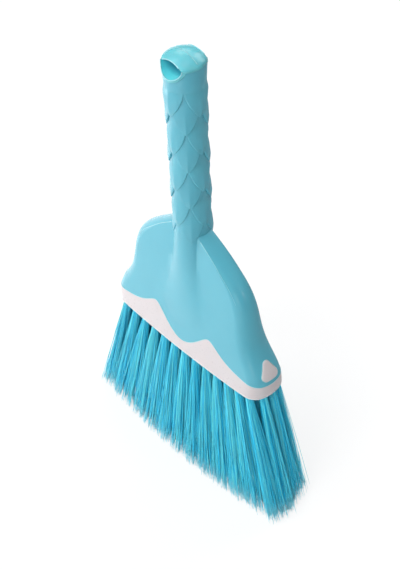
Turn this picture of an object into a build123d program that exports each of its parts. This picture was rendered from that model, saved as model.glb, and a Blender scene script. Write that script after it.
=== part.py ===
"""Hand broom: a hollow moulded handle and hood, a snap-in brush block, a hanging cap, and stapled tufts.

Millimetres. X runs along the head, Y through its thickness, Z up the handle. The bristle tips are at zero.
"""
from build123d import *
import math
import os

# Bristles: straight strands that fan out from holes drilled at the same angles
bristle_length = 115.0
tuft_pitch = 11.4
row_pitch = 8.9
outer_row_count = 13
inner_row_count = 14
end_fan = 27.0
side_fan = 7.6
middle_swell = 3.8
end_pinch = 3.6
strands_round = 6
strand_sides = 3
strand_radius = 0.85
ring_root_radius = 1.62
ring_tip_radius = 5.1
strand_bed = 3.0

# Tuft holes and the flat wire staples that hold each folded tuft
hole_radius = 2.8
hole_depth = 11.0
hole_sides = 6
tuft_clearance = 0.3
staple_thickness = 0.4
staple_height = 2.0
staple_clearance = 0.1

# Head: one outer form shared by the hood and the skirt of the block below it
head_length = 160.0
head_thickness = 38.0
shoulder_thickness = 13.2
hood_height = 119.0
end_bow = 7.0
side_bow = 2.4
shoulder_bow = 0.2
head_corner_radius = 12.0
hood_wall = 2.4

# The head's form by level: height up the hood, half length, bow of the ends and corner rounding
level_shares = (0.0, 0.10, 0.21, 0.30, 0.40, 0.52, 0.64, 0.74, 0.82, 0.89, 0.96, 1.0)
length_shares = (0.998, 1.008, 0.940, 0.862, 0.808, 0.776, 0.726, 0.630, 0.500, 0.358, 0.200, 0.115)
bow_shares = (0.75, 0.80, 0.90, 1.0, 1.1, 1.2, 1.2, 1.1, 0.75, 0.42, 0.24, 0.18)
corner_shares = (1.0, 1.0, 1.0, 0.95, 0.85, 0.72, 0.55, 0.36, 0.22, 0.14, 0.11, 0.10)

# Wavy seam between the hood and the white skirt: distance from the middle and height
wave_peak_height = 30.0
wave_out_shares = (0.0, 0.185, 0.30, 0.365, 0.435, 0.59, 0.78, 1.08)
wave_up_shares = (0.36, 0.60, 0.90, 1.0, 0.92, 0.665, 0.515, 0.37)
seam_gap = 0.15

# Trunk: the handle's foot, which widens and sinks into the hood's two faces
trunk_level_shares = (1.05, 0.94, 0.84, 0.71, 0.54, 0.36, 0.20)
trunk_width_shares = (1.0, 1.05, 1.13, 1.38, 2.1, 3.5, 4.0)
trunk_depth_shares = (1.0, 1.01, 1.02, 1.035, 1.08, 1.16, 1.21)
trunk_radius = 13.7

# Handle: rows of keeled leaves over a tapered tube, widening towards the cap
rim_height = 257.0
rim_radius = 15.0
leaf_tip_radius = 14.3
leaf_rows = 8
leaves_round = 4
leaf_row_pitch = 16.0
diagonal_row_lift = 3.0
first_tip_height = 219.0
leaf_edge_height = 21.0
leaf_edge_bulge = 1.6
leaf_step = 0.65
leaf_keel = 0.3
leaf_reach = 38.0
flare_start_height = 215.0
core_radius = 12.5
bore_radius = 11.2
socket_radius = 12.2
socket_depth = 24.0

# Hanging cap: dome, spigot and the framed eye through it
dome_height = 7.5
dome_edge_height = 1.4
dome_edge_radius = 3.0
cap_clearance = 0.2
spigot_length = 22.0
spigot_wall = 2.0
eye_half_width = 10.6
eye_corner_height = 0.8
eye_top_height = 4.6
eye_drop = 7.4
eye_corner_radius = 2.0
eye_lip = 1.7
eye_clearance = 0.15

# Brush block: floor, inner wall that fits the hood, and the catches that show in its windows
floor_thickness = 14.0
block_fit = 0.2
block_wall = 2.2
block_rise = 38.0
block_edge_chamfer = 0.8
catch_half_width = 9.6
catch_base_height = 16.0
catch_top_height = 33.0
catch_corner_radius = 3.2
catch_proud = 0.9
catch_clearance = 0.3
catch_edge_radius = 0.6

overrun = 5.0

# Heights that follow from the sizes above
block_face = bristle_length
shoulder = block_face + hood_height
rim = block_face + rim_height
grip_flare = block_face + flare_start_height
first_tip = block_face + first_tip_height
half_length = head_length / 2
half_thickness = head_thickness / 2
half_shoulder = shoulder_thickness / 2


def between(value, knots, results):
    """The result at a value, on straight lines between the knots."""
    for low, high, first, last in zip(knots, knots[1:], results, results[1:]):
        if value <= high:
            return first + (last - first) * (value - low) / (high - low)
    return results[-1]


def head_section(share, inset, drop):
    """One plan outline of the head, at a share of the hood's height, drawn in by inset and lowered by drop."""
    length = half_length * between(share, level_shares, length_shares) - inset
    thickness = half_thickness + (half_shoulder - half_thickness) * share - inset
    bow = end_bow * between(share, level_shares, bow_shares)
    side = side_bow + (shoulder_bow - side_bow) * share
    corner = max(head_corner_radius * between(share, level_shares, corner_shares) - inset, hood_wall / 4)
    reach = length - bow
    depth = thickness - side
    with BuildSketch(Plane.XY.offset(block_face + hood_height * share - drop)) as section:
        with BuildLine():
            ThreePointArc((-reach, -depth), (0, -thickness), (reach, -depth))
            ThreePointArc((reach, -depth), (length, 0), (reach, depth))
            ThreePointArc((reach, depth), (0, thickness), (-reach, depth))
            ThreePointArc((-reach, depth), (-length, 0), (-reach, -depth))
        make_face()
        fillet(section.vertices(), corner)
    return section.sketch


def head_form(inset):
    """The head's outer form, or the same form drawn in by a wall and lowered as much."""
    with BuildPart() as form:
        for share in level_shares:
            add(head_section(share, inset, max(inset, 0)))
        loft()
    return form.part


def lower_form(inset, bottom, top):
    """The head's form drawn in by inset, kept between two heights above the block's face."""
    whole = head_form(inset)
    with BuildPart() as form:
        with BuildSketch(Plane.XY.offset(block_face + bottom)):
            Rectangle(head_length * 2, head_thickness * 2)
        extrude(amount=top - bottom)
        add(whole, mode=Mode.INTERSECT)
    return form.part


def trunk_form(inset):
    """The handle's widening foot, or its hollow."""
    with BuildPart() as form:
        for level, width, depth in zip(trunk_level_shares, trunk_width_shares, trunk_depth_shares):
            with BuildSketch(Plane.XY.offset(block_face + hood_height * level)):
                Ellipse(trunk_radius * width - inset, trunk_radius * depth - inset)
        loft()
    return form.part


def wave_region(lift):
    """Everything below the wavy seam, raised by lift, as a slab through the head's thickness."""
    outs = [half_length * share for share in wave_out_shares]
    ups = [block_face + wave_peak_height * share + lift for share in wave_up_shares]
    right = list(zip(outs, ups))
    left = [(-out, up) for out, up in reversed(right[1:])]
    bottom = block_face - overrun
    with BuildPart() as slab:
        with BuildSketch(Plane.XZ):
            with BuildLine():
                Spline(*(left + right))
                Polyline(right[-1], (outs[-1], bottom), (-outs[-1], bottom), left[0])
            make_face()
        extrude(amount=head_thickness, both=True)
    return slab.part


def catch_prism(grow, start):
    """A rounded triangle, apex up, run out along X at both ends from a starting distance."""
    with BuildPart() as prism:
        with BuildSketch(Plane.YZ.offset(start)) as face:
            with BuildLine():
                Polyline(
                    (-catch_half_width, block_face + catch_base_height),
                    (catch_half_width, block_face + catch_base_height),
                    (0, block_face + catch_top_height),
                    close=True,
                )
            make_face()
            if grow:
                offset(amount=grow, kind=Kind.INTERSECTION)
            fillet(face.vertices(), catch_corner_radius + grow)
        extrude(amount=half_length)
        mirror(about=Plane.YZ)
    return prism.part


def eye_outline(grow):
    """The hanging eye's outline on the XZ plane, grown by a wall or a clearance."""
    with BuildSketch(Plane.XZ) as outline:
        with BuildLine():
            side, corner = eye_half_width + grow, rim + eye_corner_height
            ThreePointArc((-side, corner), (0, rim + eye_top_height + grow), (side, corner))
            ThreePointArc((side, corner), (0, rim - eye_drop - grow), (-side, corner))
        make_face()
        fillet(outline.vertices(), eye_corner_radius + grow)
    return outline.sketch


def eye_prism(grow):
    """The eye run from front to back."""
    outline = eye_outline(grow)
    with BuildPart() as prism:
        extrude(outline, amount=rim_radius + overrun, both=True)
    return prism.part


def leaf_radius(height, tip):
    """The surface of the row whose tips are at a height, which thins upwards and flares near the cap."""
    flare = max(height - grip_flare, 0) / (rim - grip_flare)
    fall = leaf_step * (height - tip) / leaf_row_pitch
    top_fall = leaf_step * (rim - first_tip) / leaf_row_pitch
    return leaf_tip_radius - fall + flare * (rim_radius - leaf_tip_radius + top_fall)


def upright(radius, bottom, top):
    """A round bar on the handle's axis."""
    with BuildPart() as bar:
        with BuildSketch(Plane.XY.offset(bottom)):
            Circle(radius)
        extrude(amount=top - bottom)
    return bar.part


def leaf_section(height, tip, keel_turn):
    """One cross-section of a row: an arc from each leaf's keel to the next, a little flatter than a circle."""
    flare = max(height - grip_flare, 0) / (rim - grip_flare)
    keel = leaf_radius(height, tip)
    lengths = (keel, keel - leaf_keel * (1 - flare), keel)
    quarter = 2 * math.pi / leaves_round
    with BuildSketch(Plane.XY.offset(height).rotated((0, 0, keel_turn))) as section:
        with BuildLine():
            for leaf in range(leaves_round):
                turns = (leaf * quarter, (leaf + 0.5) * quarter, (leaf + 1) * quarter)
                ThreePointArc(*[(length * math.cos(turn), length * math.sin(turn))
                                for length, turn in zip(lengths, turns)])
        make_face()
    return section.sketch


def leaf_row(index):
    """One ring of leaves whose ogive tips point down, notched between the tips."""
    tip = first_tip - leaf_row_pitch * index + diagonal_row_lift * (index % 2)
    top = rim if index == 0 else min(tip + leaf_reach, rim)
    turn = 360 / leaves_round
    notch_turn = turn / 2 * ((index + 1) % 2)
    heights = [tip] + [grip_flare] * (tip < grip_flare < top) + [top]
    side = leaf_tip_radius * math.sin(math.radians(turn / 2))
    slope = math.hypot(side, leaf_edge_height)
    lean = leaf_edge_bulge / slope
    middle = (side / 2 - leaf_edge_height * lean, tip + leaf_edge_height / 2 - side * lean)
    apex = (0, tip + leaf_edge_height)
    sections = [leaf_section(height, tip, notch_turn + turn / 2) for height in heights]
    with BuildPart() as ring:
        add(sections)
        loft(ruled=True)
        with BuildSketch(*[Plane.YZ.rotated((0, 0, notch * turn + notch_turn)) for notch in range(leaves_round)]):
            with BuildLine():
                ThreePointArc((side, tip), middle, apex)
                ThreePointArc(apex, (-middle[0], middle[1]), (-side, tip))
                Polyline((-side, tip), (-side, tip - overrun), (side, tip - overrun), (side, tip))
            make_face()
        extrude(amount=rim_radius + overrun, mode=Mode.SUBTRACT)
    return ring.part


# Handle and hood, one hollow moulding: the grip and the hood are cut first and joined last
hood_outer = head_form(0)
hood_hollow = head_form(hood_wall)
trunk_outer = trunk_form(0)
trunk_hollow = trunk_form(hood_wall)
bore = upright(bore_radius, shoulder - trunk_radius, rim)
socket = upright(socket_radius, rim - socket_depth, rim)
core = upright(core_radius, shoulder, rim)
leaf_rings = [leaf_row(index) for index in range(leaf_rows)]
below_seam = wave_region(0)
windows = catch_prism(catch_clearance, half_length / 2)
eye_notch = eye_prism(eye_lip + eye_clearance)

with BuildPart() as grip:
    add([core] + leaf_rings)
    add([bore, socket, trunk_hollow, eye_notch], mode=Mode.SUBTRACT)

with BuildPart() as handle_hood:
    add([hood_outer, trunk_outer])
    add([hood_hollow, trunk_hollow, bore, below_seam, windows], mode=Mode.SUBTRACT)
    add(grip.part)
handle_hood.part.label = "handle_hood"
export_step(handle_hood.part, "parts/handle_hood.step")

# Hanging cap: its spigot plugs the socket, and the eye's frame fills the notches in the rim
eye_frame = eye_prism(eye_lip)
eye_hole = eye_prism(0)
eye_keep = upright(rim_radius, rim - socket_depth, rim)
spigot_radius = socket_radius - cap_clearance
dome_rise = dome_height - dome_edge_height
dome_radius = (rim_radius ** 2 + dome_rise ** 2) / (2 * dome_rise)
dome_centre = rim + dome_height - dome_radius
dome_angle = math.degrees(math.asin(rim_radius / dome_radius))

with BuildPart() as frame_bar:
    add(eye_frame)
    add(eye_keep, mode=Mode.INTERSECT)

with BuildPart() as end_cap:
    with BuildSketch(Plane.XZ) as dome:
        with BuildLine():
            CenterArc((0, dome_centre), dome_radius, 90 - dome_angle, dome_angle)
            Polyline((0, rim + dome_height), (0, rim), (rim_radius, rim), (rim_radius, rim + dome_edge_height))
        make_face()
        fillet(dome.vertices().group_by(Axis.X)[-1].sort_by(Axis.Y)[-1], dome_edge_radius)
    revolve(axis=Axis.Z)
    with BuildSketch(Plane.XY.offset(rim - spigot_length)):
        Circle(spigot_radius)
    extrude(amount=spigot_length)
    with BuildSketch(Plane.XY.offset(rim - spigot_length)):
        Circle(spigot_radius - spigot_wall)
    extrude(amount=spigot_length, mode=Mode.SUBTRACT)
    add(frame_bar.part)
    add(eye_hole, mode=Mode.SUBTRACT)
end_cap.part.label = "end_cap"
export_step(end_cap.part, "parts/end_cap.step")

# Tuft holes: each axis leans out with its tuft, from the block's face to the tip plane
outer_reach = tuft_pitch * (outer_row_count - 1) / 2
inner_reach = tuft_pitch * (inner_row_count - 1) / 2
side_reach = row_pitch * 1.5
tuft_rows = {
    "front": (outer_row_count, -side_reach),
    "mid_front": (inner_row_count, -row_pitch / 2),
    "mid_back": (inner_row_count, row_pitch / 2),
    "back": (outer_row_count, side_reach),
}
end_spread = 1 + end_fan / inner_reach
side_spread = 1 + side_fan / side_reach


def tuft_tip(x, y, swell=0):
    """The middle of a tuft's tips on the tip plane, where the outer rows may stand further out by swell."""
    return Vector(x * end_spread, y * (side_spread + swell / side_reach), 0)


def tuft_plane(x, y):
    """The mouth of a tuft's hole, with its normal running up the hole."""
    mouth = Vector(x, y, block_face)
    return Plane(origin=mouth, x_dir=(1, 0, 0), z_dir=mouth - tuft_tip(x, y))


tuft_places = {}
for row_name, (count, y) in tuft_rows.items():
    for number in range(count):
        tuft_places[f"tuft_{row_name}_{number + 1:02d}"] = (tuft_pitch * (number - (count - 1) / 2), y)
tuft_planes = [tuft_plane(x, y) for x, y in tuft_places.values()]

# Staples lie along the head, just under the closed end of each hole
staple_length = (hole_radius - staple_clearance) * 2
staple_depth = hole_depth - staple_height


def staple_plane(x, y):
    """The middle of a staple, in its tuft's hole."""
    return tuft_plane(x, y).offset(staple_depth)


staple_planes = [staple_plane(x, y) for x, y in tuft_places.values()]

# Brush block: skirt flush with the hood below the seam, inner wall behind it, catches in the windows
fit_inset = hood_wall + block_fit
tray_inset = fit_inset + block_wall
skirt_form = lower_form(0, 0, block_rise)
fit_form = lower_form(fit_inset, 0, block_rise)
tray_form = lower_form(tray_inset, floor_thickness, block_rise + overrun)
catch_form = lower_form(-catch_proud, 0, block_rise)
below_skirt = wave_region(-seam_gap)
catch_bars = catch_prism(0, half_length - tray_inset - end_bow)

with BuildPart() as skirt:
    add(skirt_form)
    chamfer(skirt.edges().group_by(Axis.Z)[0], block_edge_chamfer)
    add(below_skirt, mode=Mode.INTERSECT)

with BuildPart() as catches:
    add(catch_form)
    add(catch_bars, mode=Mode.INTERSECT)
    shown = catches.faces().filter_by(lambda face: abs(face.center().X) > half_length - end_bow)
    shown = shown.filter_by(lambda face: abs(face.normal_at().X) > abs(face.normal_at().Z))
    fillet([edge for face in shown for edge in face.edges()], catch_edge_radius)

with BuildPart() as brush_block:
    add([skirt.part, fit_form, catches.part])
    add(tray_form, mode=Mode.SUBTRACT)
    with BuildSketch(*tuft_planes):
        RegularPolygon(hole_radius, hole_sides, major_radius=False)
    extrude(amount=hole_depth, both=True, mode=Mode.SUBTRACT)
brush_block.part.label = "brush_block"
export_step(brush_block.part, "parts/brush_block.step")

# Staples: one flat wire across each hole, which holds the fold of its tuft
with BuildPart() as staples:
    with Locations(*staple_planes):
        Box(staple_length, staple_thickness, staple_height)
staples.part.label = "staples"
export_step(staples.part, "parts/staples.step")

# Tufts: a packed plug folded round its staple, and the strands that fan from it to the floor
plug_radius = hole_radius - tuft_clearance
plug_length = hole_depth - tuft_clearance
slot_thickness = staple_thickness + staple_clearance * 2
slot_height = staple_height + staple_clearance * 2
ring_turns = [math.radians(360 / strands_round * number) for number in range(strands_round)]
ring_units = [Vector(0, 0)] + [Vector(math.cos(turn), math.sin(turn)) for turn in ring_turns]


def strand(x, y, unit):
    """One straight strand of even thickness, from the tip plane up into its plug."""
    bed = tuft_plane(x, y)
    end = bed.origin + bed.z_dir * strand_bed + unit * ring_root_radius
    swell = middle_swell - (middle_swell + end_pinch) * (x / inner_reach) ** 2
    tip = tuft_tip(x, y, swell) + unit * ring_tip_radius
    with BuildPart() as bristle:
        with BuildSketch(Plane.XY):
            with Locations((tip.X, tip.Y)):
                RegularPolygon(strand_radius, strand_sides)
        extrude(amount=(end - tip).length, dir=(end - tip).normalized())
    return bristle.part


for name, (x, y) in tuft_places.items():
    strands = [strand(x, y, unit) for unit in ring_units]
    with BuildPart() as tuft:
        with BuildSketch(tuft_plane(x, y)):
            RegularPolygon(plug_radius, hole_sides, major_radius=False)
        extrude(amount=plug_length)
        with Locations(staple_plane(x, y)):
            Box(hole_radius * 3, slot_thickness, slot_height, mode=Mode.SUBTRACT)
        add(strands)
    tuft.part.label = name
    export_step(tuft.part, f"parts/{name}.step")
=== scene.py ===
"""Hand broom: blue moulded handle and hood, white brush block, hanging cap and four rows of filament tufts.

Metres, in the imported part's own frame: X along the head, Y through it, Z up the handle, tips on the floor.
"""

import math
import random

import bmesh
import bpy
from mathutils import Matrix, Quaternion, Vector
from mathutils.bvhtree import BVHTree


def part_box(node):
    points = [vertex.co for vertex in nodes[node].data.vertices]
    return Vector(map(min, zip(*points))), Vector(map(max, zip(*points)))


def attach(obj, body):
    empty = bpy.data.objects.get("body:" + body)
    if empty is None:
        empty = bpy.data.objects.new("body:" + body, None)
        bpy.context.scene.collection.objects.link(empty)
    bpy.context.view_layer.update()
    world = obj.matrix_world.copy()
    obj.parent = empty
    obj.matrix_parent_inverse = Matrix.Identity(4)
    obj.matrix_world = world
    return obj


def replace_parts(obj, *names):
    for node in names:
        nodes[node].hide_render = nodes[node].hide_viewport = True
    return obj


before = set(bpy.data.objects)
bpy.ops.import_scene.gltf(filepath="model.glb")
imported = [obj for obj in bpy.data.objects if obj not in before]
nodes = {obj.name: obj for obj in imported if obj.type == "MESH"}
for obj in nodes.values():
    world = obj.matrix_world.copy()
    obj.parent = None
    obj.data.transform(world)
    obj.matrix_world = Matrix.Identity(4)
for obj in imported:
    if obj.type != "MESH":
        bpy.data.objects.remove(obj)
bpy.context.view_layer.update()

mm = 0.001
face_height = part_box("brush_block")[0].z

# Photograph's view: camera aimed at the handle's axis above the block's face, in degrees, metres and pixels
photo_width, photo_height = 400, 570
view_azimuth, view_elevation, view_roll = 50.01, 43.52, -3.107
view_distance = 1.0052
view_target = Vector((0, 0, face_height + 80 * mm))
focal_pixels = 1385.0
axis_pixel_x, axis_pixel_y = 194.8, 261.07

# Tufts: count and place of each row, and how far its tips reach at the two ends, in millimetres
tuft_pitch, row_pitch = 11.4 * mm, 8.9 * mm
tuft_rows = {
    "front": (13, -1.5, (-100, 98)),
    "mid_front": (14, -0.5, (-101, 100)),
    "mid_back": (14, 0.5, (-99, 96)),
    "back": (13, 1.5, (-94, 91)),
}
side_spread, end_pinch = 1.76, 0.34
filaments_each = 190
filament_radius = 0.205 * mm
end_limit, side_limit = 111.5 * mm, 31.2 * mm
tuft_root_radius, tuft_tip_radius = 2.5 * mm, 7.6 * mm
tuft_overlap, end_narrowing, tip_squareness = 1.35, 0.5, 0.6
mouth_cover = 1 * mm

# Filaments: how much trimmed ends, places and bends differ, in millimetres, and the shape of a single thread
trim_spread, tip_spread = 1.4, 1.3
golden_angle = 2.39996
stray_spread, wild_spread, wild_every = 1.8, 3.4, 9
bend_along, bend_across = 1.0, 0.8
corners_round = 4
thread_shares = (0, 0.1, 0.35, 0.65, 0.9, 1)
thread_radii, split_radii = (1, 1, 1, 1, 0.9, 0.45), (0.6, 0.25)

# Grip: leaf rows from the cap down, with the lip and keel that each moulded leaf carries, in millimetres
cap_rim, first_tip, row_drop, diagonal_lift = 372.0, 334.0, 16.0, 3.0
leaf_rows, leaves_round = 8, 4
leaf_radius, leaf_step, flare_start, rim_radius = 14.3, 0.65, 330.0, 15.0
notch_height, notch_bulge = 21.0, 1.6
leaf_lift, lip_height, lip_round = 0.08, 0.72, 0.8
leaf_reach, top_leaf_reach, skirt_depth = 38.0, 27.0, 1.0
keel_height, keel_reach = 0.38, 2.6
grip_slim, grip_inside, grip_outside = 0.42, 12.8, 15.6
slim_foot, slim_full, slim_rim, slim_neck = 205, 225, 2, 16
top_sink, sink_start, sink_end = 0.5, 14, 25

# Hanging eye: its centre and floor under the cap's rim, its half width, and the skin round it, in millimetres
eye_centre_drop, eye_floor_drop, eye_half_width = 2, 8.3, 10.9
eye_wall_radius, cap_skin_radius, dome_start = 14.3, 14.6, 2.5

# Hood and block: heights above the block's face and places along the head, in millimetres
rim_top, trim_top, catch_floor, catch_inside, spine_half = 60, 1.2, 10, 79, 55

# Shoulder lines, pale beads that paint a highlight along the hood's crease: heights above the floor and places
# along the head that are searched for them, in millimetres
shoulder_top, shoulder_foot, shoulder_outside, shoulder_inside, shoulder_step = 231, 190, 80, 10, 0.25
front_facing, levels_averaged = -0.8, 4

# Lips and mould lines: radii and point spacing in millimetres, and the angles in degrees that mark a sharp edge
eye_lip, hood_lip, catch_lip, block_lip, seam_line, shoulder_highlight_line = 0.45, 0.25, 0.35, 0.4, 0.2, 0.26
bead_spacing, bead_gap, chain_gap = 0.8, 0.5, 0.3
moulding_crease, lip_angle, mouth_angle = 32, 35, 88


def linear(hex_code):
    """A colour that is written in sRGB hex, in Blender's linear values."""
    channels = [int(hex_code[i:i + 2], 16) / 255 for i in (1, 3, 5)]
    return [c / 12.92 if c <= 0.04045 else ((c + 0.055) / 1.055) ** 2.4 for c in channels] + [1.0]


def add_node(tree, kind, settings=None, links=None):
    """A node of one kind, with its settings and the sockets that feed it."""
    node = tree.nodes.new(kind)
    for key, value in (settings or {}).items():
        if hasattr(node, key):
            setattr(node, key, value)
        else:
            node.inputs[key].default_value = value
    for key, source in (links or {}).items():
        tree.links.new(source, node.inputs[key])
    return node


def new_material(name):
    """An empty material with its tree, shader and output."""
    material = bpy.data.materials.new(name)
    material.use_nodes = True
    tree = material.node_tree
    tree.nodes.clear()
    shader = add_node(tree, "ShaderNodeBsdfPrincipled")
    output = add_node(tree, "ShaderNodeOutputMaterial", links={"Surface": shader.outputs[0]})
    return material, tree, shader, output


def moulded_polypropylene(name, colour, shade, roughness, depth=0.12):
    """Injection moulded polypropylene: waxy, a little see-through, with soft highlights and faint flow marks."""
    material, tree, shader = new_material(name)[:3]
    place = add_node(tree, "ShaderNodeTexCoord")
    flow = add_node(tree, "ShaderNodeTexNoise", {"Scale": 1 / (22 * mm), "Detail": 2.0, "Roughness": 0.5},
                    {"Vector": place.outputs["Object"]})
    tint = add_node(tree, "ShaderNodeMix", {"data_type": "RGBA"}, {"Factor": flow.outputs[0]})
    tint.inputs["A"].default_value = linear(colour)
    tint.inputs["B"].default_value = linear(shade)
    skin = add_node(tree, "ShaderNodeTexNoise", {"Scale": 1 / (1.8 * mm), "Detail": 2.0, "Roughness": 0.6},
                    {"Vector": place.outputs["Object"]})
    ripple = add_node(tree, "ShaderNodeBump", {"Strength": 0.02, "Distance": 0.03 * mm},
                      {"Height": skin.outputs[0]})
    gloss = add_node(tree, "ShaderNodeMapRange", {"To Min": roughness - 0.02, "To Max": roughness + 0.02},
                     {"Value": skin.outputs[0]})
    tree.links.new(tint.outputs["Result"], shader.inputs["Base Color"])
    tree.links.new(gloss.outputs["Result"], shader.inputs["Roughness"])
    tree.links.new(ripple.outputs["Normal"], shader.inputs["Normal"])
    shader.inputs["IOR"].default_value = 1.49
    shader.inputs["Specular IOR Level"].default_value = 0.4
    shader.inputs["Subsurface Weight"].default_value = depth
    shader.inputs["Subsurface Radius"].default_value = (0.35, 0.9, 1.0)
    shader.inputs["Subsurface Scale"].default_value = 3 * mm
    return material


def painted_light_eye_wall(name):
    """The wall round the hanging eye with painted light: a brighter tint near the mouths, and painted shade deep
    in the middle.
    """
    # Painted light: the eye wall is tinted much brighter than the rest of the cap
    material = moulded_polypropylene(name, "#74ebf5", "#6ce5f1", 0.26, 0.6)
    tree = material.node_tree
    base = tree.nodes["Principled BSDF"].inputs["Base Color"]
    lit = base.links[0].from_socket
    place = add_node(tree, "ShaderNodeTexCoord")
    parts = add_node(tree, "ShaderNodeSeparateXYZ", links={"Vector": place.outputs["Object"]})
    outward = add_node(tree, "ShaderNodeMath", {"operation": "ABSOLUTE"}, {0: parts.outputs["Y"]})
    # Painted shade: dark teal deep inside the eye, away from its mouths
    painted_shade_share = add_node(tree, "ShaderNodeMapRange", {"From Min": 9 * mm, "From Max": 1 * mm},
                    {"Value": outward.outputs[0]})
    wall = add_node(tree, "ShaderNodeMix", {"data_type": "RGBA"}, {"Factor": painted_shade_share.outputs["Result"]})
    tree.links.new(lit, wall.inputs["A"])
    wall.inputs["B"].default_value = linear("#0c7f9c")
    tree.links.new(wall.outputs["Result"], base)
    return material


def split_tip_filament(name):
    """Extruded filament: bright satin threads that differ a little, each paler where its tip is split."""
    material, tree, shader = new_material(name)[:3]
    place = add_node(tree, "ShaderNodeTexCoord")
    shade = add_node(tree, "ShaderNodeAttribute", {"attribute_name": "thread_shade"})
    tint = add_node(tree, "ShaderNodeValToRGB", links={"Fac": shade.outputs["Fac"]})
    tint.color_ramp.elements[0].color = linear("#08d3ff")
    tint.color_ramp.elements[1].color = linear("#7af9ff")
    height = add_node(tree, "ShaderNodeSeparateXYZ", links={"Vector": place.outputs["Object"]})
    tip = add_node(tree, "ShaderNodeMapRange", {"From Min": 18 * mm, "From Max": 2 * mm},
                   {"Value": height.outputs["Z"]})
    pale = add_node(tree, "ShaderNodeMix", {"data_type": "RGBA"}, {"Factor": tip.outputs["Result"]})
    pale.inputs["B"].default_value = linear("#a2effc")
    tree.links.new(tint.outputs["Color"], pale.inputs["A"])
    tree.links.new(pale.outputs["Result"], shader.inputs["Base Color"])
    shader.inputs["Roughness"].default_value = 0.28
    shader.inputs["IOR"].default_value = 1.49
    shader.inputs["Specular IOR Level"].default_value = 0.36
    return material


def drawn_steel(name):
    """Drawn flat wire: bright steel, brushed along its length by the die."""
    material, tree, shader = new_material(name)[:3]
    place = add_node(tree, "ShaderNodeTexCoord")
    drawn = add_node(tree, "ShaderNodeMapping", {"Scale": (1 / (8 * mm), 1 / (0.3 * mm), 1 / (0.3 * mm))},
                     {"Vector": place.outputs["Object"]})
    lines = add_node(tree, "ShaderNodeTexNoise", {"Scale": 1.0, "Detail": 2.0}, {"Vector": drawn.outputs[0]})
    gloss = add_node(tree, "ShaderNodeMapRange", {"To Min": 0.25, "To Max": 0.45}, {"Value": lines.outputs[0]})
    tree.links.new(gloss.outputs["Result"], shader.inputs["Roughness"])
    shader.inputs["Base Color"].default_value = linear("#c3c5c8")
    shader.inputs["Metallic"].default_value = 1.0
    return material


def studio_floor(name):
    """Matt white paper: plain white to the camera; to reflections it glows as a painted reflection, bright on the
    left and dark on the right.
    """
    glow_share, camera_level, painted_reflection_side = 0.72, 1.08, (-0.766, -0.643, 0)
    material, tree, shader, output = new_material(name)
    shader.inputs["Base Color"].default_value = linear("#f4f4f4")
    shader.inputs["Roughness"].default_value = 0.9
    rays = add_node(tree, "ShaderNodeLightPath")
    seen = add_node(tree, "ShaderNodeMath", {"operation": "MAXIMUM"})
    tree.links.new(rays.outputs["Is Camera Ray"], seen.inputs[0])
    tree.links.new(rays.outputs["Is Glossy Ray"], seen.inputs[1])
    through = add_node(tree, "ShaderNodeMath", {"operation": "MAXIMUM"})
    tree.links.new(seen.outputs[0], through.inputs[0])
    tree.links.new(rays.outputs["Is Transmission Ray"], through.inputs[1])
    share = add_node(tree, "ShaderNodeMath", {"operation": "MULTIPLY"}, {0: through.outputs[0]})
    share.inputs[1].default_value = glow_share
    place = add_node(tree, "ShaderNodeTexCoord")
    across = add_node(tree, "ShaderNodeVectorMath", {"operation": "DOT_PRODUCT"}, {0: place.outputs["Object"]})
    across.inputs[1].default_value = painted_reflection_side
    # Painted reflection: glossy rays see the floor glow bright to the front left and dim to the back right
    painted_reflection_glow = add_node(tree, "ShaderNodeMapRange",
                    {"interpolation_type": "SMOOTHSTEP", "From Min": -0.15, "From Max": 0.15,
                     "To Min": 0.1, "To Max": 1.8}, {"Value": across.outputs["Value"]})
    level = add_node(tree, "ShaderNodeMix", {"data_type": "FLOAT"}, {"Factor": rays.outputs["Is Glossy Ray"]})
    level.inputs["A"].default_value = camera_level
    tree.links.new(painted_reflection_glow.outputs["Result"], level.inputs["B"])
    glow = add_node(tree, "ShaderNodeEmission", links={"Strength": level.outputs[0]})
    blend = add_node(tree, "ShaderNodeMixShader",
                     links={0: share.outputs[0], 1: shader.outputs[0], 2: glow.outputs[0]})
    tree.links.new(blend.outputs[0], output.inputs["Surface"])
    return material


blue_plastic = moulded_polypropylene("moulded_blue_polypropylene", "#64bbce", "#5db5ca", 0.26, 0.25)
cap_plastic = moulded_polypropylene("moulded_cap_polypropylene", "#74cad4", "#6dc5d0", 0.26, 0.6)
# Painted highlight: a pale blue for the lips and fine lines along edges and creases
painted_highlight_plastic = moulded_polypropylene("painted_highlight_polypropylene", "#a4e2ea", "#9cdde7", 0.2)
# Painted highlight: a whiter plastic for the lip along the trim's lower edge
trim_highlight_plastic = moulded_polypropylene("painted_highlight_white_polypropylene", "#f0eef0", "#ecebee", 0.22)
# The eye wall's plastic carries painted light: bright at the mouths, with painted shade in the middle
painted_light_eye_plastic = painted_light_eye_wall("eye_wall_painted_light_polypropylene")
white_plastic = moulded_polypropylene("moulded_white_polypropylene", "#dbd4d6", "#d6cfd1", 0.28)
filament_plastic = split_tip_filament("split_tip_filament")
staple_steel = drawn_steel("drawn_steel_wire")


def add_piece(name, mesh, material):
    """A finished mesh as a piece of the broom's one body."""
    mesh.materials.clear()
    mesh.materials.append(material)
    piece = bpy.data.objects.new(name, mesh)
    bpy.context.scene.collection.objects.link(piece)
    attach(piece, "root")
    return piece


def thread_curve(name, radius, roundness):
    """An empty curve whose threads are round rods of one radius."""
    curve = bpy.data.curves.new(name, "CURVE")
    curve.dimensions = "3D"
    curve.bevel_depth = radius
    curve.bevel_resolution = roundness
    return curve


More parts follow.
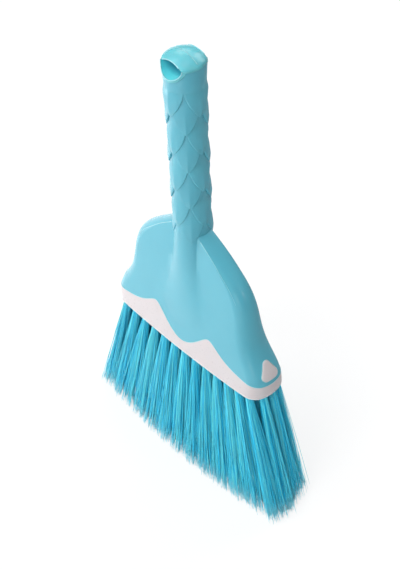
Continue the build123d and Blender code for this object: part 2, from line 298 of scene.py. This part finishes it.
def thread_mesh(curve):
    """The mesh of all the threads on a curve."""
    threads = bpy.data.objects.new(curve.name + "_threads", curve)
    mesh = bpy.data.meshes.new_from_object(threads)
    bpy.data.objects.remove(threads)
    for face in mesh.polygons:
        face.use_smooth = True
    return mesh


def add_thread(curve, points, radii, closed=False):
    """A thread on a curve, straight between its points, with its share of the full radius at each point."""
    thread = curve.splines.new("POLY")
    thread.points.add(len(points) - 1)
    thread.use_cyclic_u = closed
    for spot, place, radius in zip(thread.points, points, radii):
        spot.co = (*place, 1)
        spot.radius = radius


def edge_chains(edges):
    """Edges walked into lists of points, each with a mark that says whether its ends meet."""
    waiting = dict.fromkeys(edges)
    while waiting:
        edge = waiting.popitem()[0]
        chain = list(edge.verts)
        for end in (1, 0):
            step = edge
            while step:
                last = chain[-1] if end else chain[0]
                step = next((other for other in last.link_edges if other in waiting), None)
                if step:
                    waiting.pop(step)
                    chain.insert(len(chain) if end else 0, step.other_vert(last))
        closed = (chain[0].co - chain[-1].co).length < chain_gap * mm
        yield [vert.co.copy() for vert in chain], closed


def edge_bead(name, shape, chosen, radius, material, sharpness=lip_angle):
    """A rounded lip along the chosen edges of a moulding that turn by more than the given angle."""
    curve = thread_curve(name, radius, 1)
    sharp = [edge for edge in shape.edges if len(edge.link_faces) == 2
             and edge.calc_face_angle_signed() > math.radians(sharpness)
             and chosen((edge.verts[0].co + edge.verts[1].co) / 2)]
    for points, closed in edge_chains(sharp):
        kept = points[:1]
        for point in points[1:]:
            if (point - kept[-1]).length > bead_spacing * mm:
                kept.append(point)
        if len(kept) > 4:
            if closed and (kept[0] - kept[-1]).length < bead_gap * mm:
                kept.pop()
            add_thread(curve, kept, [1] * len(kept), closed)
    add_piece(name, thread_mesh(curve), material)


def soft_step(value, low, high):
    """A smooth rise from 0 at low to 1 at high."""
    share = min(max((value - low) / (high - low), 0), 1)
    return share * share * (3 - 2 * share)


def slim_share(height):
    """How much of the grip's slimming applies at a height, so that it fades out at the cap and at the hood."""
    return soft_step(height, slim_foot, slim_full) * soft_step(cap_rim - height, slim_rim, slim_neck)


def smoothed(node, material):
    """A copy of a rigid node, joined up so that its curved faces shade smoothly, as a shape and as a mesh."""
    mesh = nodes[node].data.copy()
    mesh.name = node + "_surface"
    shape = bmesh.new()
    shape.from_mesh(mesh)
    bmesh.ops.remove_doubles(shape, verts=shape.verts, dist=0.002 * mm)
    if node == "handle_hood":
        for vert in shape.verts:
            radius = math.hypot(vert.co.x, vert.co.y)
            if grip_inside * mm < radius < grip_outside * mm:
                slim = 1 - grip_slim * mm * slim_share(vert.co.z / mm) / radius
                vert.co.x, vert.co.y = vert.co.x * slim, vert.co.y * slim
    for face in shape.faces:
        face.smooth = True
    for edge in shape.edges:
        edge.smooth = len(edge.link_faces) == 2 and edge.calc_face_angle() < math.radians(moulding_crease)
    shape.to_mesh(mesh)
    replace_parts(add_piece(node + "_surface", mesh, material), node)
    return shape, mesh


def paint_light_on_eye_wall(mesh):
    """The wall round the hanging eye gets its own plastic with painted light: a brighter tint, and painted shade
    in its middle.
    """
    mesh.materials.append(painted_light_eye_plastic)
    for face in mesh.polygons:
        middle = face.center
        out = Vector((middle.x, 0, middle.z - (cap_rim - eye_centre_drop) * mm))
        inside = math.hypot(middle.x, middle.y) < eye_wall_radius * mm and abs(middle.x) < eye_half_width * mm
        if inside and middle.z > (cap_rim - eye_floor_drop) * mm and face.normal.dot(out) < 0:
            face.material_index = 1


def skin_line(name, tree, starts, heading, radius, fade=0):
    """A fine raised line, coloured pale as a painted highlight, where rays from the starts meet a moulding's skin;
    it can fade towards its last point.
    """
    curve = thread_curve(name, radius, 1)
    points = [tree.ray_cast(start, heading)[0] for start in starts]
    points = [point for point in points if point]
    add_thread(curve, points, [1 - fade * number / len(points) for number in range(len(points))])
    add_piece(name, thread_mesh(curve), painted_highlight_plastic)


def shoulder_starts(tree, side):
    """Places in front of the hood's shoulder, where its flat front turns into the ridge round its end."""
    spots = []
    for level in range(shoulder_top, shoulder_foot, -1):
        for out in range(round(shoulder_outside / shoulder_step), round(shoulder_inside / shoulder_step), -1):
            place = Vector((side * out * shoulder_step, -200, level)) * mm
            hit, normal = tree.ray_cast(place, Vector((0, 1, 0)))[:2]
            if hit and normal.y < front_facing:
                spots.append(place)
                break
    for number in range(len(spots)):
        near = spots[max(number - levels_averaged, 0):number + levels_averaged + 1]
        yield sum(near, Vector()) / len(near)


def is_outermost(tree, place):
    """Whether no wall of a moulding stands outside a place."""
    spine = max(min(place.x, spine_half * mm), -spine_half * mm)
    outward = Vector((place.x - spine, place.y, 0)).normalized()
    above = Vector((0, 0, 0.4 * mm))
    return tree.ray_cast(place + outward * 0.1 * mm + above, outward, 6 * mm)[0] is None


def on_hood_rim(place):
    """Whether a place is on the outer edge of the hood's rim or of its end windows."""
    return place.z < face_height + rim_top * mm and is_outermost(hood_tree, place)


def on_trim_rim(place):
    """Whether a place is on the lower outer edge of the white trim."""
    return place.z < face_height + trim_top * mm and is_outermost(block_tree, place)


def on_catch(place):
    """Whether a place is on the edge of a catch that shows in an end window."""
    return abs(place.x) > catch_inside * mm and place.z > face_height + catch_floor * mm


def on_eye_mouth(place):
    """Whether a place is on the cap's skin at a mouth of the hanging eye."""
    outside = math.hypot(place.x, place.y) > cap_skin_radius * mm or place.z > (cap_rim + dome_start) * mm
    return outside and place.z > (cap_rim - eye_floor_drop) * mm and abs(place.x) < eye_half_width * mm


hood_shape = smoothed("handle_hood", blue_plastic)[0]
cap_shape, cap_mesh = smoothed("end_cap", cap_plastic)
block_shape = smoothed("brush_block", white_plastic)[0]
paint_light_on_eye_wall(cap_mesh)
hood_tree, block_tree = BVHTree.FromBMesh(hood_shape), BVHTree.FromBMesh(block_shape)
# The eye and hood rim lips are pale beads: real rounded edges with a painted highlight
edge_bead("eye_lips", cap_shape, on_eye_mouth, eye_lip * mm, painted_highlight_plastic, mouth_angle)
edge_bead("hood_rim_lips", hood_shape, on_hood_rim, hood_lip * mm, painted_highlight_plastic)
edge_bead("catch_lips", block_shape, on_catch, catch_lip * mm, white_plastic)
# The trim's lower lip is whiter than the trim: a painted highlight along that edge
edge_bead("trim_lip", block_shape, on_trim_rim, block_lip * mm, trim_highlight_plastic)
# The cap's mould line is a real fine bead, coloured pale as a painted highlight
above_cap = [Vector((step * 0.5, 0, 420)) * mm for step in range(-26, 27)]
skin_line("cap_seam", BVHTree.FromBMesh(cap_shape), above_cap, Vector((0, 0, -1)), seam_line * mm)
# Painted highlight: a pale line down each shoulder crease, fading towards its foot
for side, side_name in ((-1, "left"), (1, "right")):
    skin_line("shoulder_highlight_line_" + side_name, hood_tree, list(shoulder_starts(hood_tree, side)),
              Vector((0, 1, 0)), shoulder_highlight_line * mm, 0.8)
hood_shape.free()
cap_shape.free()
block_shape.free()
nodes["staples"].data.materials.clear()
nodes["staples"].data.materials.append(staple_steel)


def notch_half_width(height):
    """Half the gap between two neighbouring leaves at a height above their tips; their edges bulge into it."""
    side = leaf_radius * math.sin(math.pi / leaves_round)
    share = min(height / notch_height, 1)
    chord = side * (1 - share)
    return max(chord - 4 * notch_bulge * 0.93 * share * (1 - share), 0)


def leaf_relief(edge, centre, height):
    """How far a leaf stands off its smooth row: a plate with a rounded edge and a soft keel up the middle."""
    fade = 1 - soft_step(height, notch_height * 0.7, notch_height * 1.2)
    keel = keel_height * (1 - soft_step(centre, 0, keel_reach)) * (1 - soft_step(height, 7, 22))
    if edge < lip_round:
        roll = 1 - math.sqrt(max(1 - ((lip_round - edge) / lip_round) ** 2, 0))
        return keel + lip_height * fade - lip_round * roll
    return keel + lip_height * fade


def grip_leaf(shape, tip, turn, top_row):
    """One leaf laid on the grip, its grid fine at the lip and the keel; the top row ends under the hanging eye."""
    # Distances from the edge and from the keel at a leaf's full width; the first edge step is the buried skirt
    edge_steps = (0, 0, 0.04, 0.12, 0.24, 0.4, 0.58, 0.8, 1.15, 1.9)
    keel_steps = (0, 0.15, 0.5, 1.1, 2.0, 3.4)
    full_width = 5.4
    half = len(edge_steps) + len(keel_steps) + 3
    tall = 46
    reach = top_leaf_reach if top_row else leaf_reach
    grid = bmesh.ops.create_grid(shape, x_segments=half * 2, y_segments=tall, size=1)
    half_turn = math.pi / leaves_round
    top_fall = leaf_step * (cap_rim - first_tip) / row_drop
    for vert in grid["verts"]:
        across = round(vert.co.x * half)
        height = reach * ((vert.co.y + 1) / 2) ** 1.25
        flare = max(tip + height - flare_start, 0) / (cap_rim - flare_start)
        radius = leaf_radius - leaf_step * height / row_drop + flare * (rim_radius - leaf_radius + top_fall)
        spread = half_turn - math.asin(min(notch_half_width(height) / leaf_radius, 0.7071))
        width = max(spread * radius, 0.02)
        tight = min(width / full_width, 1)
        place = half - abs(across)
        if place < len(edge_steps):
            edge = edge_steps[place] * tight
        elif abs(across) < len(keel_steps):
            edge = width - keel_steps[abs(across)] * tight
        else:
            share = (place - len(edge_steps) + 1) / (half - len(edge_steps) - len(keel_steps) + 2)
            edge = (edge_steps[-1] + share * (width / tight - keel_steps[-1] - edge_steps[-1])) * tight
        rise = leaf_lift + leaf_relief(edge / tight, (width - edge) / tight, height) * tight
        if top_row:
            rise -= top_sink * soft_step(height, sink_start, sink_end)
        if place == 0 or height == 0:
            rise = -skirt_depth
        angle = turn + math.copysign((width - edge) / radius, across)
        radius += rise - grip_slim * slim_share(tip + height)
        vert.co = (radius * math.cos(angle) * mm, radius * math.sin(angle) * mm, (tip + height) * mm)
    bmesh.ops.remove_doubles(shape, verts=grid["verts"], dist=0.004 * mm)


def grip_leaves():
    """All the leaves of the grip, as the raised skin of the handle's moulding."""
    shape = bmesh.new()
    for row in range(leaf_rows):
        tip = first_tip - row_drop * row + diagonal_lift * (row % 2)
        for leaf in range(leaves_round):
            grip_leaf(shape, tip, 2 * math.pi * (leaf + 0.5 * (row % 2)) / leaves_round, row == 0)
    for face in shape.faces:
        face.smooth = True
    mesh = bpy.data.meshes.new("grip_leaves")
    shape.to_mesh(mesh)
    shape.free()
    add_piece("grip_leaves", mesh, blue_plastic)


grip_leaves()

chance = random.Random(190)


def add_tuft(curve, mouth, tip, wide):
    """Filaments packed at the mouth of one hole, fanning out and crossing a little, to a fuzzy trimmed end."""
    trim = chance.uniform(0, trim_spread) * mm
    for number in range(filaments_each):
        reach = math.sqrt((number + 0.5) / filaments_each)
        turn = number * golden_angle + chance.uniform(-0.2, 0.2)
        out = Vector((math.cos(turn), math.sin(turn), 0)) * reach
        root = mouth + out * tuft_root_radius
        wild = stray_spread if number % wild_every else wild_spread
        stray = Vector((chance.gauss(0, wild), chance.gauss(0, wild * 0.6), 0)) * mm
        squared = 1 + tip_squareness * (1 / max(abs(math.cos(turn)), abs(math.sin(turn))) - 1)
        fan = Vector((out.x * wide, out.y, 0)) * squared * tuft_tip_radius * chance.uniform(0.8, 1.03)
        end = tip + fan + stray
        end.x = max(min(end.x, end_limit), -end_limit)
        end.y = max(min(end.y, side_limit), -side_limit)
        end.z = trim + abs(chance.gauss(0, tip_spread)) * mm
        bend = Vector((chance.gauss(0, bend_along), chance.gauss(0, bend_across), 0)) * mm
        points = [root.lerp(end, share) + bend * math.sin(math.pi * share) for share in thread_shares]
        add_thread(curve, points, thread_radii)
        if number % 3:
            for side in (-1, 1):
                drift = (chance.uniform(0.3, 0.9) * side, chance.uniform(-0.7, 0.7), chance.uniform(-0.3, 0.8))
                split = end + Vector(drift) * mm
                split.z = max(split.z, 0.1 * mm)
                add_thread(curve, (points[-2], split), split_radii)


def bristle_row(name, count, place, reach):
    """One row of tufts as a single piece, which stands for that row's nodes."""
    curve = thread_curve(name, filament_radius, 0)
    for number in range(count):
        along = number / (count - 1)
        mouth = Vector((tuft_pitch * (number - (count - 1) / 2), row_pitch * place, face_height + mouth_cover))
        pinch = 1 - end_pinch * (2 * along - 1) ** 2
        tip = Vector(((reach[0] * (1 - along) + reach[1] * along) * mm, mouth.y * side_spread * pinch, 0))
        add_tuft(curve, mouth, tip, tuft_overlap - end_narrowing * (2 * along - 1) ** 8)
    mesh = thread_mesh(curve)
    shades = []
    for thread in curve.splines:
        shades += [chance.random()] * (corners_round * len(thread.points))
    mesh.attributes.new("thread_shade", "FLOAT", "POINT").data.foreach_set("value", shades)
    piece = add_piece("bristles_" + name, mesh, filament_plastic)
    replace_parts(piece, *[node for node in nodes if node.rsplit("_", 1)[0] == "tuft_" + name])


for row_name, (count, place, reach) in tuft_rows.items():
    bristle_row(row_name, count, place, reach)

# White paper floor, a few metres to each side
floor_mesh = bpy.data.meshes.new("floor")
shape = bmesh.new()
bmesh.ops.create_grid(shape, x_segments=1, y_segments=1, size=4)
shape.to_mesh(floor_mesh)
shape.free()
floor_mesh.materials.append(studio_floor("white_paper_floor"))
floor = bpy.data.objects.new("floor", floor_mesh)
bpy.context.scene.collection.objects.link(floor)


def soft_lamp(name, azimuth, elevation, distance, size, power):
    """A square softbox that faces the broom from one side."""
    lamp = bpy.data.lights.new(name, "AREA")
    lamp.size = size
    lamp.energy = power
    holder = bpy.data.objects.new(name, lamp)
    turn, rise = math.radians(azimuth), math.radians(elevation)
    back = Vector((math.sin(turn) * math.cos(rise), -math.cos(turn) * math.cos(rise), math.sin(rise)))
    holder.location = view_target + back * distance
    holder.rotation_mode = "QUATERNION"
    holder.rotation_quaternion = (-back).to_track_quat("-Z", "Y")
    bpy.context.scene.collection.objects.link(holder)


# Azimuth and elevation in degrees, distance and size in metres, power in watts
lamps = {
    "left_softbox": (-50, 55, 1.7, 0.9, 10),
    "front_softbox": (8, 45, 1.7, 0.8, 14.5),
    "top_softbox": (60, 84, 1.8, 0.9, 3),
    "low_left_bounce": (-61, -8, 0.8, 0.2, 1.9),
    "low_front_softbox": (44, 5, 1.5, 0.3, 1.6),
    "ridge_strip": (103, 21, 1.6, 0.1, 1.8),
    "back_softbox": (184, 40, 1.7, 0.8, 9),
    "back_left_softbox": (-130, 45, 1.7, 0.8, 6),
}
for lamp_name, aim in lamps.items():
    soft_lamp(lamp_name, *aim)

# Plain pale world: white to the camera, a little ambient light to everything else
world = bpy.data.worlds.new("pale_studio")
world.use_nodes = True
sky = world.node_tree
sky.nodes.clear()
rays = add_node(sky, "ShaderNodeLightPath")
ambient = add_node(sky, "ShaderNodeBackground", {"Color": linear("#eef2f4"), "Strength": 0.12})
backdrop = add_node(sky, "ShaderNodeBackground", {"Strength": 1.0})
backdrop.inputs["Color"].default_value = (1, 1, 1, 1)
seen = add_node(sky, "ShaderNodeMixShader",
                links={0: rays.outputs["Is Camera Ray"], 1: ambient.outputs[0], 2: backdrop.outputs[0]})
add_node(sky, "ShaderNodeOutputWorld", links={"Surface": seen.outputs[0]})
bpy.context.scene.world = world

# Camera from the photograph
camera_data = bpy.data.cameras.new("photo_camera")
camera_data.sensor_width = 36
camera_data.lens = focal_pixels * camera_data.sensor_width / photo_height
camera_data.shift_x = (photo_width / 2 - axis_pixel_x) / photo_height
camera_data.shift_y = (axis_pixel_y - photo_height / 2) / photo_height
camera = bpy.data.objects.new("photo_camera", camera_data)
azimuth, elevation = math.radians(view_azimuth), math.radians(view_elevation)
level = math.cos(elevation)
back = Vector((math.sin(azimuth) * level, -math.cos(azimuth) * level, math.sin(elevation)))
camera.location = view_target + back * view_distance
camera.rotation_mode = "QUATERNION"
camera.rotation_quaternion = (-back).to_track_quat("-Z", "Y") @ Quaternion((0, 0, 1), math.radians(view_roll))
bpy.context.scene.collection.objects.link(camera)
bpy.context.scene.camera = camera
bpy.context.scene.view_settings.view_transform = "Standard"
